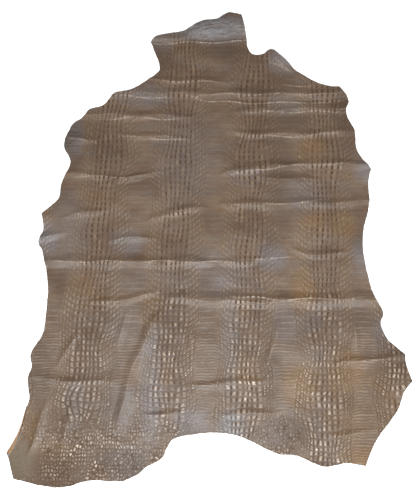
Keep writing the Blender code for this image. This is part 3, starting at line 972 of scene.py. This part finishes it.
def pattern_lattice(rim):
    """The pattern's own mesh lines over the hide, as arrays of rows by lines."""
    even, drawn, depth = half_lines()
    last = len(even) - 1
    low, high = rim.min(axis=0), rim.max(axis=0)
    first_row = math.floor((low[1] - ROW_RISE) / ROW_HEIGHT)
    last_row = math.ceil(high[1] / ROW_HEIGHT)
    row = np.arange(first_row * LINES_PER_SCALE, last_row * LINES_PER_SCALE + 1)
    shift = np.array([0, -1, 0, 1]) * SHOULDER_SHIFT
    row_place = row / LINES_PER_SCALE + shift[row % LINES_PER_SCALE]

    x, y, across, count, upright = [], [], [], [], []
    for number, column in enumerate(COLUMNS):
        for n in range(-last if number == 0 else 1 - last, last + 1):
            side = -1 if n < 0 else 1
            line_y = row_place * ROW_HEIGHT + row_rise(drawn[abs(n)])
            span = column_span(number, side, line_y)
            y.append(line_y)
            x.append(column_middle(column, line_y) + side * scale_offset(drawn[abs(n)], line_y, span))
            across.append(2 * HALF_UNITS * number + side * even[abs(n)])
            count.append(drawn[abs(n)])
            upright.append(depth[abs(n)])
    xy = np.stack((np.stack(x, axis=1), np.stack(y, axis=1)), axis=2)
    even_xy = xy.copy()
    xy[..., 0] += soft_noise(even_xy, COLUMN_SWAY)
    crossed = smooth_step(CROSSED_FROM, CROSSED_TO, even_xy[..., 1])
    loose = loose_share(even_xy)
    for stray, waves in ((PATTERN_STRAY, LOOSE_WAVES), (SCALE_STRAY, SCALE_WAVES)):
        amount = stray.anywhere + stray.crossed * crossed + stray.loose * loose
        xy += amount[..., None] * np.stack([soft_noise(even_xy, wave) for wave in waves], axis=2)
    rows = np.repeat((row / LINES_PER_SCALE)[:, None], xy.shape[1], axis=1)
    across, count = (np.repeat(np.array(line)[None], len(row), axis=0) for line in (across, count))

    in_column, in_flank, in_ribs = zone_weights(count, xy)
    scale_row = np.array([1, SHOULDER_DEPTH, 0, SHOULDER_DEPTH])[row % LINES_PER_SCALE][:, None]
    halved = smooth_step(HALVED_FROM, HALVED_TO, xy[..., 1])
    flank_row = np.maximum(scale_row, halved * (1.0 - row % LINES_PER_FLANK)[:, None])
    rib_row = (row % LINES_PER_SCALE == 0).astype(float)[:, None]
    upright = np.array(upright)[None]
    level = GROOVE_LEVEL * (LEVEL_AT_NECK + (1 - LEVEL_AT_NECK) * crossed) * scale_row
    bridge = BRIDGE + (BRIDGE_AT_BUTT - BRIDGE) * crossed
    column_cut = np.maximum(GROOVE_UPRIGHT * upright * (1 - bridge * scale_row), level)
    flank_cut = GROOVE_FLANK * np.maximum(FLANK_UPRIGHT * upright, flank_row)
    cut = in_column * column_cut + in_flank * flank_cut + in_ribs * GROOVE_RIB * (1 - rib_row)
    return xy, across, rows, count, cut


def drop_corner_cells(cells):
    """Take out cells until none touch at a corner alone."""
    while True:
        a, b = cells[:-1, :-1], cells[:-1, 1:]
        c, d = cells[1:, :-1], cells[1:, 1:]
        falling = a & d & ~b & ~c
        rising = b & c & ~a & ~d
        if not (falling | rising).any():
            return cells
        cells[:-1, :-1] &= ~falling
        cells[:-1, 1:] &= ~rising


def triangulate(points, lines):
    """Triangles between points, as numbers of the points that went in."""
    _, _, triangles, came_from, _, _ = delaunay_2d_cdt([Vector(p) for p in points], lines, [],
                                                       FACES_INSIDE, SAME_POINT)
    return [tuple(came_from[i][0] for i in triangle) for triangle in triangles]


def triangle_sides(triangle):
    return [tuple(sorted((triangle[n], triangle[n - 1]))) for n in range(3)]


def outside_loop(triangles, rim_count, loop):
    """The triangles that are reached from the rim's points without crossing the inner loop."""
    beside = {}
    for n, triangle in enumerate(triangles):
        for side in triangle_sides(triangle):
            beside.setdefault(side, []).append(n)
    walls = {tuple(sorted(side)) for side in loop}
    reached = {n for n, triangle in enumerate(triangles) if min(triangle) < rim_count}
    front = list(reached)
    while front:
        for side in triangle_sides(triangles[front.pop()]):
            if side in walls:
                continue
            for n in beside[side]:
                if n not in reached:
                    reached.add(n)
                    front.append(n)
    return [triangles[n] for n in sorted(reached)]


def ring_sides(count):
    """The sides of a closed ring, by the numbers of the points at their ends."""
    return [(i, (i + 1) % count) for i in range(count)]


def grain_surface(rim):
    """The grain side: the pattern's own quads, and triangles between them and the rim.

    The triangles number the rim's points first and then those of the pattern's border.
    """
    lattice, *pattern = pattern_lattice(rim)
    high, wide = lattice.shape[:2]
    flat = lattice.reshape(-1, 2)
    box = (flat > rim.min(axis=0)).all(axis=1) & (flat < rim.max(axis=0)).all(axis=1)
    held = np.flatnonzero(box)
    held = held[inside(flat[held], rim)]
    held = held[edge_gap(flat[held], rim) > RIM_MARGIN]
    keep = np.zeros(high * wide, bool)
    keep[held] = True
    keep = keep.reshape(high, wide)
    cells = drop_corner_cells(keep[:-1, :-1] & keep[1:, :-1] & keep[:-1, 1:] & keep[1:, 1:])

    number = np.arange(high * wide).reshape(high, wide)
    corners = (number[:-1, :-1], number[:-1, 1:], number[1:, 1:], number[1:, :-1])
    quads = np.stack([corner[cells] for corner in corners], axis=1)
    used, quads = np.unique(quads, return_inverse=True)
    quads = quads.reshape(-1, 4)

    sides = np.concatenate([quads[:, [n, (n + 1) % 4]] for n in range(4)])
    ordered = np.sort(sides, axis=1)
    _, first, times = np.unique(ordered, axis=0, return_index=True, return_counts=True)
    border = sides[first[times == 1]]
    border_points = np.unique(border)

    ring = np.concatenate((rim, flat[used][border_points]))
    place = {int(point): len(rim) + n for n, point in enumerate(border_points)}
    loop = [(place[int(a)], place[int(b)]) for a, b in border]
    between = outside_loop(triangulate(ring, ring_sides(len(rim)) + loop), len(rim), loop)
    return Grain(flat[used], *(values.ravel()[used] for values in pattern),
                 quads, border_points, between)


def roll_rows(roll):
    """Rows of points beside the roll's line, over the leather that bends."""
    length = line_length(roll_line(roll, CURVE_SAMPLES))
    line = roll_line(roll, round(length / ROLL_STEP) + 1)
    normals = left_normals(line)
    return [line - normals * reach for reach in ROLL_ROWS]


def underside_points(rim):
    """Points inside the rim for the flesh side, and the rim's and the roll's lines."""
    low, high = rim.min(axis=0), rim.max(axis=0)
    columns = np.arange(low[0], high[0], UNDERSIDE_STEP)
    level = []
    for n, y in enumerate(np.arange(low[1], high[1], UNDERSIDE_STEP * math.sqrt(3) / 2)):
        shift = UNDERSIDE_STEP * 0.5 * (n % 2)
        level.append(np.stack((columns + shift, np.full(len(columns), y)), axis=1))
    level = np.concatenate(level)
    level = level[inside(level, rim)]
    level = level[edge_gap(level, rim) > UNDERSIDE_CLEARANCE]

    lines = ring_sides(len(rim))
    points = rim.copy()
    for row in roll_rows(SHANK_ROLL):
        stays = np.flatnonzero(inside(row, rim) & (edge_gap(row, rim) > ROLL_CLEARANCE))
        lines += [(len(points) + n, len(points) + n + 1) for n in range(len(stays) - 1)
                  if stays[n + 1] == stays[n] + 1]
        points = np.concatenate((points, row[stays]))
    rolled = points[len(rim):]
    level = level[edge_gap(level, rolled) > UNDERSIDE_CLEARANCE]
    return np.concatenate((points, level)), lines


def small_share(xy):
    """Where small scales that follow no column take over from the pressed rows."""
    return SMALL_MOST * loose_share(xy) * smooth_step(SMALL_FROM, SMALL_TO, xy[..., 1])


def cut_strength(xy):
    """How deep the press bit, uneven all over, and flatter where the small scales take over."""
    bite = PRESS_USUAL + sum(soft_noise(xy, wave) for wave in PRESS_WAVES)
    return np.clip(bite, PRESS_LEAST, PRESS_MOST) * (1 - SMALL_FLATTENING * small_share(xy))


def hide_arrays():
    """Every point and face of the hide in millimetres, with what the materials read at each point."""
    rim = rim_points()
    grain = grain_surface(rim)
    flat = grain.flat
    around = len(rim)
    upper = len(flat)
    middle = upper + around
    lower = middle + around
    rim_across, rim_rows, rim_count = find_pattern(rim)
    under_flat, lines = underside_points(rim)

    # The points in order: grain side, upper rim, middle of the cut edge, lower rim, flesh side
    drawn_in = rim - EDGE_ROUND * rim_normals(rim)
    xy = np.concatenate((flat, drawn_in, rim, drawn_in, under_flat[around:]))

    def on_top(values):
        """Values of the grain side and its rim, and nothing for the points under them."""
        return np.concatenate((values, np.zeros(len(xy) - middle)))

    pressed = smooth_step(PRESSED_FROM, PRESSED_TO, 1 - place_weight(UNPRESSED, xy[:middle]))
    height = LEATHER_THICKNESS - grain.cut * pressed[:upper] * cut_strength(flat)
    height += sum(fold_height(crease, flat) for crease in CREASES)
    height += soft_noise(flat / CROSS_STRETCH, CROSS_SWELL) + soft_noise(flat, BROAD_SWELL)
    above = np.zeros(len(xy))
    above[:upper] = np.maximum(height, LEAST_THICKNESS)
    above[upper:middle] = LEATHER_THICKNESS
    above[middle:lower] = LEATHER_THICKNESS / 2
    xyz = roll_over(xy, sheet_height(xy), above, SHANK_ROLL)

    def from_ring(n):
        return upper + n if n < around else int(grain.border[n - around])

    faces = [tuple(quad) for quad in grain.quads.tolist()]
    faces += [tuple(from_ring(n) for n in triangle) for triangle in grain.between]
    grain_faces = len(faces)
    for a, b in ring_sides(around):
        faces.append((upper + a, upper + b, middle + b, middle + a))
        faces.append((middle + a, middle + b, lower + b, lower + a))
    faces += [tuple(lower + n for n in reversed(triangle))
              for triangle in triangulate(under_flat, lines)]

    across = on_top(np.concatenate((grain.across, rim_across)))
    rows = on_top(np.concatenate((grain.rows, rim_rows)))
    count = on_top(np.concatenate((grain.count, rim_count)))
    masks = dict(zip(("column", "flank", "ribs"), zone_weights(count, xy)))
    masks["pressed"] = on_top(pressed)
    for name, places in (("warm", WARM_PLACES), ("painted_sheen", PAINTED_SHEEN_PLACES), ("shine_and_painted_glints", SHINE_AND_PAINTED_GLINT_PLACES),
                         ("olive", OLIVE_PLACES), ("deep", DARK_PLACES)):
        masks[name] = place_weight(places, xy)
    masks["gap"], masks["crease"] = crease_gap(xy)
    masks["small"] = small_share(xy)
    # A share from the neck to the butt, along which the painted highlights on the scale tops grow
    masks["toward_butt"] = butt_share(xy[:, 1])
    return xyz, faces, grain_faces, np.stack((across + 0.5, rows), axis=1), masks


def build_hide():
    xyz, faces, grain_faces, pattern, masks = hide_arrays()
    low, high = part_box("hide")
    middle = (xyz[:, :2].min(axis=0) + xyz[:, :2].max(axis=0)) / 2
    xyz[:, :2] -= middle
    xyz *= MM
    xyz[:, :2] += [(low.x + high.x) / 2, (low.y + high.y) / 2]

    mesh = bpy.data.meshes.new("leather")
    mesh.from_pydata(xyz.tolist(), [], faces)
    side = np.full(len(mesh.polygons), FLESH_SIDE, np.int32)
    side[:grain_faces] = GRAIN_SIDE
    mesh.polygons.foreach_set("material_index", side)
    corner_points = np.empty(len(mesh.loops), np.int32)
    mesh.loops.foreach_get("vertex_index", corner_points)
    layer = mesh.uv_layers.new(name="pattern")
    layer.data.foreach_set("uv", pattern[corner_points].astype(np.float32).ravel())
    for name, values in masks.items():
        mask = mesh.attributes.new(name=name, type="FLOAT", domain="POINT")
        mask.data.foreach_set("value", values.astype(np.float32))
    mesh.shade_smooth()
    mesh.set_sharp_from_angle(angle=SHARP_ANGLE)
    mesh.update()
    hide = bpy.data.objects.new("leather", mesh)
    bpy.context.scene.collection.objects.link(hide)
    return hide


# Materials

class Nodes:
    """Puts nodes into one tree. What a node is given is a plain value or another node's socket."""

    def __init__(self, tree):
        self.tree = tree

    def feed(self, sockets, values):
        for name, value in values.items():
            if isinstance(value, bpy.types.NodeSocket):
                self.tree.links.new(value, sockets[name])
            else:
                sockets[name].default_value = value

    def add(self, kind, inputs=None, **settings):
        """The outputs of a new node, whose inputs are fed by name or number."""
        made = self.tree.nodes.new("ShaderNode" + kind)
        for name, value in settings.items():
            setattr(made, name, value)
        self.feed(made.inputs, inputs or {})
        return made.outputs

    def maths(self, operation, first, *others, clamp=False):
        """One operation on the first value with each of the others in turn."""
        for other in others or (0.0,):
            first = self.add("Math", {0: first, 1: other}, operation=operation)[0]
        first.node.use_clamp = clamp
        return first

    def times(self, *values, clamp=False):
        return self.maths("MULTIPLY", *values, clamp=clamp)

    def plus(self, *values):
        return self.maths("ADD", *values)

    def rest(self, value):
        """What the value leaves of 1."""
        return self.maths("SUBTRACT", 1.0, value)

    def ramp(self, value, low, high, low_out=0.0, high_out=1.0):
        """A smooth step of the value from low to high."""
        return self.add("MapRange", {"Value": value, "From Min": low, "From Max": high,
                                     "To Min": low_out, "To Max": high_out},
                        interpolation_type="SMOOTHSTEP")["Result"]

    def step(self, value, name):
        """One of the smooth steps of the table."""
        return self.ramp(value, *STEPS[name])

    def mix(self, share, first, second):
        made = self.add("Mix", {"Factor": share, "A": first, "B": second}, data_type="RGBA")
        return next(output for output in made if output.type == "RGBA")

    def mask(self, name):
        return self.add("Attribute", attribute_name=name)["Fac"]

    def place(self, stretch=EVEN):
        """The place on the hide, stretched along its axes."""
        spot = self.add("TexCoord")["Object"]
        return self.add("Mapping", {"Vector": spot, "Scale": stretch})["Vector"]

    def noise(self, place, fineness, detail, roughness):
        return self.add("TexNoise", {"Vector": place, "Scale": fineness, "Detail": detail,
                                     "Roughness": roughness})["Fac"]

    def plain(self, name):
        """One of the noises over the hide, as it is."""
        noise = NOISES[name]
        return self.noise(self.place(noise.stretch), noise.fineness, noise.detail, noise.roughness)

    def stepped(self, name):
        """One of the noises over the hide, through its smooth step."""
        noise = NOISES[name]
        return self.ramp(self.plain(name), noise.low, noise.high, noise.low_out, noise.high_out)

    def bump(self, height, strength):
        return self.add("Bump", {"Strength": strength, "Distance": BUMP_DISTANCE,
                                 "Height": height})["Normal"]


def new_group(name, inputs, outputs):
    """A node group that takes and gives numbers, but for the place: its nodes and its two ends."""
    group = bpy.data.node_groups.new(name, "ShaderNodeTree")
    for labels, way in ((inputs, "INPUT"), (outputs, "OUTPUT")):
        for label in labels:
            kind = "NodeSocketVector" if label == "Place" else "NodeSocketFloat"
            group.interface.new_socket(name=label, in_out=way, socket_type=kind)
    given = group.nodes.new("NodeGroupInput").outputs
    return Nodes(group), given, group.nodes.new("NodeGroupOutput").inputs


def pressed_scales_group():
    """Where the grooves between the scales run, and a tone for each scale."""
    nodes, given, made = new_group("pressed scales",
                                   ("Across", "Up", "Column", "Flank", "Ribs", "Toward_butt"),
                                   ("Upright", "Level", "Pit", "Dome", "Rib", "Tone"))
    maths, times, plus, rest, step = nodes.maths, nodes.times, nodes.plus, nodes.rest, nodes.step
    across, up = given["Across"], given["Up"]
    column, flank, toward_butt = given["Column"], given["Flank"], given["Toward_butt"]

    def from_groove(count, repeat=1.0):
        return maths("PINGPONG", count, repeat / 2)

    def groove(count, wide, repeat=1.0):
        return nodes.ramp(from_groove(count, repeat), repeat * wide, repeat * GROOVE_FLOOR)

    side_dome, level_dome = (step(from_groove(count), "dome") for count in (across, up))
    between = times(groove(up, WIDE_BETWEEN, 0.5), step(toward_butt, "grooves between rows"))
    large_level = groove(up, WIDE_LEVEL)
    flank_level = maths("MAXIMUM", groove(up, WIDE_FLANK), between)
    rib = times(maths("MAXIMUM", groove(up, WIDE_RIB), between), given["Ribs"])

    aside = times(from_groove(across), PIT_ACROSS)
    along = times(maths("SUBTRACT", 0.5, from_groove(up)), PIT_ALONG)
    apart = maths("SQRT", plus(times(aside, aside), times(along, along)))
    pit = times(step(apart, "pit"), column)

    long_dome = times(side_dome, rest(times(rest(level_dome), step(toward_butt, "cut between domes"))))
    narrow = maths("POWER", side_dome, step(toward_butt, "narrower domes"))
    flank_dome = times(side_dome, maths("SUBTRACT", level_dome, between, clamp=True), flank)
    bridge = times(large_level, step(toward_butt, "bridges over grooves"), column)

    cell = nodes.add("CombineXYZ", {"X": maths("FLOOR", across), "Y": maths("FLOOR", up)})[0]
    draw = nodes.add("TexWhiteNoise", {"Vector": cell}, noise_dimensions="2D")
    nodes.feed(made, {
        "Upright": times(groove(across, WIDE_UPRIGHT), plus(column, flank), rest(bridge)),
        "Level": plus(times(large_level, column), times(flank_level, flank)),
        "Pit": pit,
        "Dome": plus(times(long_dome, narrow, column), flank_dome),
        "Rib": rib,
        "Tone": draw["Value"]})
    return nodes.tree


def leather_grain_group():
    """The fine pores and hair lines of leather: a height and a dark speckle."""
    nodes, given, made = new_group("leather grain", ("Place", "Size"), ("Height", "Speckle"))
    place, size = given["Place"], given["Size"]
    cells = nodes.add("TexVoronoi", {"Vector": place, "Scale": size}, feature="DISTANCE_TO_EDGE")
    pebbles = nodes.step(cells["Distance"], "pebble")
    fine = nodes.noise(place, size, GRAIN_DETAIL, GRAIN_ROUGHNESS)
    nodes.feed(made, {"Height": nodes.plus(nodes.times(pebbles, PEBBLE_HEIGHT), fine),
                      "Speckle": nodes.step(fine, "speckle")})
    return nodes.tree


def small_scales_group():
    """Small uneven scales that follow no column: their domes, the gaps between them and a tone each."""
    nodes, given, made = new_group("small scales", ("Place", "Size"), ("Dome", "Gap", "Tone"))
    edge, cell = (
        nodes.add("TexVoronoi", {"Vector": given["Place"], "Scale": given["Size"],
                                 "Randomness": SMALL_DISORDER}, feature=feature)
        for feature in ("DISTANCE_TO_EDGE", "F1"))
    nodes.feed(made, {"Dome": nodes.step(edge["Distance"], "small dome"),
                      "Gap": nodes.step(edge["Distance"], "small gap"),
                      "Tone": nodes.step(cell["Color"], "small tone")})
    return nodes.tree


def new_material(name):
    material = bpy.data.materials.new(name)
    material.use_nodes = True
    tree = material.node_tree
    return material, Nodes(tree), tree.nodes["Principled BSDF"].inputs


def grain_side_material(scales, small_scales, grain):
    material, nodes, shader = new_material("embossed grain side")
    maths, times, plus, rest, step = nodes.maths, nodes.times, nodes.plus, nodes.rest, nodes.step
    plain, stepped, mask, mix = nodes.plain, nodes.stepped, nodes.mask, nodes.mix
    split = nodes.add("SeparateXYZ", {0: nodes.add("UVMap", uv_map="pattern")["UV"]})
    column, flank, ribs, pressed, toward_butt = (
        mask(name) for name in ("column", "flank", "ribs", "pressed", "toward_butt"))
    painted_sheen, deep, small_there = (mask(name) for name in ("painted_sheen", "deep", "small"))
    scale = nodes.add("Group", {"Across": split["X"], "Up": split["Y"], "Column": column,
                                "Flank": flank, "Ribs": ribs, "Toward_butt": toward_butt}, node_tree=scales)
    pores = nodes.add("Group", {"Place": nodes.place(), "Size": PORE_FINENESS}, node_tree=grain)
    small = nodes.add("Group", {"Place": nodes.place(SMALL_STRETCH), "Size": SMALL_FINENESS},
                      node_tree=small_scales)
    no_small = rest(small_there)

    def with_small(usual, other):
        return plus(times(usual, no_small), times(other, small_there))

    def tint(name, value):
        return times(value, TINTS[name])

    dome = with_small(scale["Dome"], small["Dome"])
    tone = with_small(scale["Tone"], small["Tone"])
    crinkled = times(painted_sheen, rest(pressed))
    flecks = stepped("flecks")
    bitten = times(pressed, stepped("pressing"))

    # The brown of the skin, each layer laid over those before it: among them a painted sheen,
    # painted highlights on the crinkles and, in the dark places, partly painted shade
    brown = mix(stepped("clouds"), BROWN_DARK, BROWN_LIGHT)
    for share, colour in (
            (tint("streaks", stepped("streaks")), BROWN_GREY),
            (times(flank, step(toward_butt, "golden flanks")), BROWN_GOLD),
            (step(toward_butt, "deeper brown"), BROWN_DEEP),
            (tint("warm", mask("warm")), BROWN_WARM),
            (tint("painted_sheen", painted_sheen), PAINTED_SHEEN_GREY),
            (times(crinkled, stepped("crinkles")), PAINTED_CRINKLE_HIGHLIGHT),
            (tint("deep", deep), BROWN_DEEP),
            (tint("olive", mask("olive")), OLIVE),
            (times(flecks, step(toward_butt, "flecks")), GROOVE_BROWN),
            (tint("mottle", stepped("mottle")), BROWN_DEEP)):
        brown = mix(share, brown, colour)

    # Where the tops of the scales and the ribs are painted lighter, partly wear and partly painted
    # highlights and glints, and where the crease crests carry painted highlight lines
    worn_and_highlit = times(maths("POWER", dome, step(toward_butt, "smaller rubbed tops")),
                   step(tone, "rubbing by tone"), stepped("patches"), step(toward_butt, "wear_and_highlight"), bitten,
                   step(flecks, "rubbing by flecks"), plus(mask("shine_and_painted_glints"), WEAR_AND_HIGHLIGHT_EVERYWHERE),
                   step(deep, "rubbing by darkness"), clamp=True)
    rib = times(scale["Rib"], bitten)
    # The crease crests: a painted highlight line in the colour, with a little relief and smoothness
    on_scales = plus(times(column, -RIDGE_LOSS_IN_COLUMN), 1.0, times(dome, RIDGE_GAIN_ON_DOME))
    crest = step(maths("ABSOLUTE", mask("gap")), "crest")
    ridge = times(crest, mask("crease"), times(stepped("breaks"), on_scales))
    brown_with_highlights_and_wear = mix(worn_and_highlit, brown, mix(step(toward_butt, "paler rubbed tops"), WORN_AND_HIGHLIT_NECK, WORN_AND_HIGHLIT_TOP))
    for share in (times(rib, step(toward_butt, "rubbed ribs")), tint("ridge", ridge)):
        brown_with_highlights_and_wear = mix(share, brown_with_highlights_and_wear, WORN_AND_HIGHLIT_TOP)

    # How dark the grooves are
    upright = times(scale["Upright"], plus(times(column, step(toward_butt, "upright grooves, column")),
                                           times(flank, step(toward_butt, "upright grooves, flank"))))
    level = times(scale["Level"], plus(times(flank, step(toward_butt, "level grooves, flank")),
                                       plus(times(column, step(toward_butt, "level grooves, column")),
                                            LEVEL_EVERYWHERE)),
                  step(toward_butt, "level grooves"))
    dark = with_small(maths("MAXIMUM", upright, level), tint("gap", small["Gap"]))
    dark = times(plus(dark, tint("pit", scale["Pit"])), bitten, clamp=True)

    rougher = {"dark": dark, "ridge": ridge, "painted_sheen": painted_sheen, "ribs": ribs, "deep": deep}
    rough = plus(step(toward_butt, "roughness"), step(plain("clouds"), "roughness by clouds"),
                 times(worn_and_highlit, step(toward_butt, "roughness of rubbed tops")),
                 *(times(value, ROUGHER[name]) for name, value in rougher.items()))

    relief = {"domes": times(dome, step(tone, "height by tone"), pressed), "ridge": ridge,
              "rib": rib, "pores": pores["Height"], "wrinkles": plain("wrinkles"),
              "dents": plain("dents"), "crinkles": times(plain("crinkles"), crinkled)}
    height = plus(*(times(value, RELIEF[name]) for name, value in relief.items()))
    nodes.feed(shader, {"Base Color": mix(dark, brown_with_highlights_and_wear, GROOVE_BROWN), "Roughness": rough,
                        "Normal": nodes.bump(height, GRAIN_BUMP)})
    return material


def flesh_side_material(grain):
    material, nodes, shader = new_material("suede flesh side and cut edge")
    nap = nodes.add("Group", {"Place": nodes.place(), "Size": NAP_FINENESS}, node_tree=grain)
    tan = nodes.mix(nodes.stepped("suede"), FLESH_TAN, FLESH_ORANGE)
    tan = nodes.mix(nodes.times(nap["Speckle"], TINTS["nap"]), tan, FLESH_DARK)
    nodes.feed(shader, {"Base Color": tan, "Roughness": FLESH_ROUGHNESS,
                        "Normal": nodes.bump(nap["Height"], FLESH_BUMP)})
    return material


def floor_material():
    material, nodes, shader = new_material("pale floor")
    nodes.feed(shader, {"Base Color": FLOOR_WHITE, "Roughness": FLOOR_ROUGHNESS,
                        "Emission Color": FLOOR_WHITE, "Emission Strength": FLOOR_GLOW})
    return material


# The room

def add_floor():
    bpy.ops.object.select_all(action="DESELECT")
    bpy.ops.mesh.primitive_plane_add(size=FLOOR_SIZE, location=(0, 0, -FLOOR_DROP))
    floor = bpy.context.object
    floor.name = "floor"
    floor.data.materials.append(floor_material())


def add_light(light):
    lamp = bpy.data.lights.new(light.name, "AREA")
    lamp.shape = "RECTANGLE"
    lamp.size = light.width
    lamp.size_y = light.depth
    lamp.energy = light.power
    lamp.color = light.colour
    made = bpy.data.objects.new(light.name, lamp)
    bpy.context.scene.collection.objects.link(made)
    made.location = light.place
    aim = Vector(light.aim) - Vector(light.place)
    made.rotation_euler = aim.to_track_quat("-Z", "Y").to_euler()


def add_world():
    world = bpy.data.worlds.new("studio")
    world.use_nodes = True
    background = world.node_tree.nodes["Background"]
    background.inputs["Color"].default_value = SKY_COLOUR
    background.inputs["Strength"].default_value = SKY_STRENGTH
    bpy.context.scene.world = world


def add_camera():
    """Above the hide and a little toward its butt, as the photograph was taken."""
    made = bpy.data.cameras.new("camera")
    made.sensor_width = SENSOR_WIDTH
    made.lens = FOCAL_PIXELS / IMAGE_HEIGHT * SENSOR_WIDTH
    camera = bpy.data.objects.new("camera", made)
    bpy.context.scene.collection.objects.link(camera)
    camera.location = (LOOK_POINT[0], LOOK_POINT[1] - CAMERA_DISTANCE * math.sin(CAMERA_TILT),
                       CAMERA_DISTANCE * math.cos(CAMERA_TILT))
    camera.rotation_euler = (CAMERA_TILT, 0, 0)
    bpy.context.scene.camera = camera


def main():
    scales = pressed_scales_group()
    grain = leather_grain_group()
    hide = build_hide()
    hide.data.materials.append(grain_side_material(scales, small_scales_group(), grain))
    hide.data.materials.append(flesh_side_material(grain))
    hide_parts("hide")
    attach(hide, "root")

    add_floor()
    add_world()
    for light in LIGHTS:
        add_light(light)
    add_camera()
    bpy.context.scene.view_settings.view_transform = "Standard"


main()
